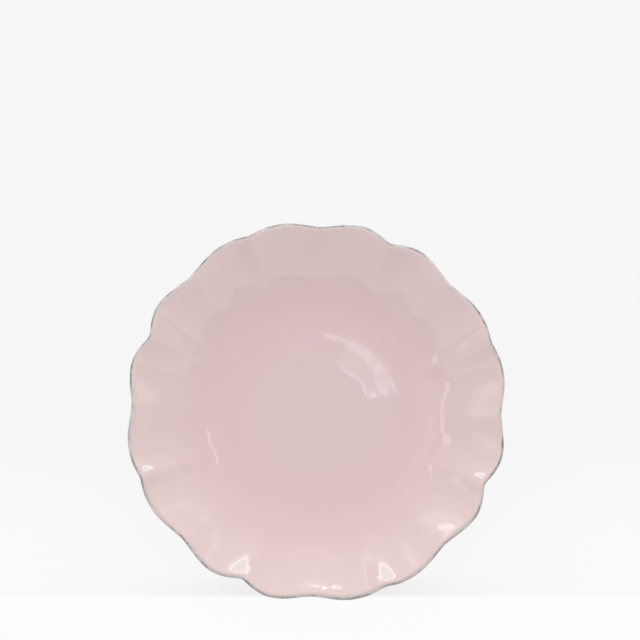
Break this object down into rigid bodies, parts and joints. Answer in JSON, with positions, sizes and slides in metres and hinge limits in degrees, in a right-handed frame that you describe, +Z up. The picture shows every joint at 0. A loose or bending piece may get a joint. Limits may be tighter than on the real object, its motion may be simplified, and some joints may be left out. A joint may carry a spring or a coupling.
{
  "type": "deep plate",
  "caption": "Round deep plate in glazed stoneware with a flat well, a ruffled rim, a grey worn edge and a foot ring; holds soup, pasta or salad.",
  "frame": {"origin": "centre of the foot ring, on the table", "axes": "+Z up out of the well, +Y towards the rim that is uppermost in the picture, +X to the picture's right"},
  "size_m": [0.2158, 0.2158, 0.0346],
  "materials": {
    "clay": "matte",
    "foot": "matte",
    "glaze": "gloss",
    "edge": "satin"
  },
  "bodies": {
    "root": {"clay_body": "clay", "foot_ring": "foot", "face_glaze": "glaze", "back_glaze": "glaze", "base_glaze": "glaze", "edge_band": "edge"}
  },
  "joints": []
}
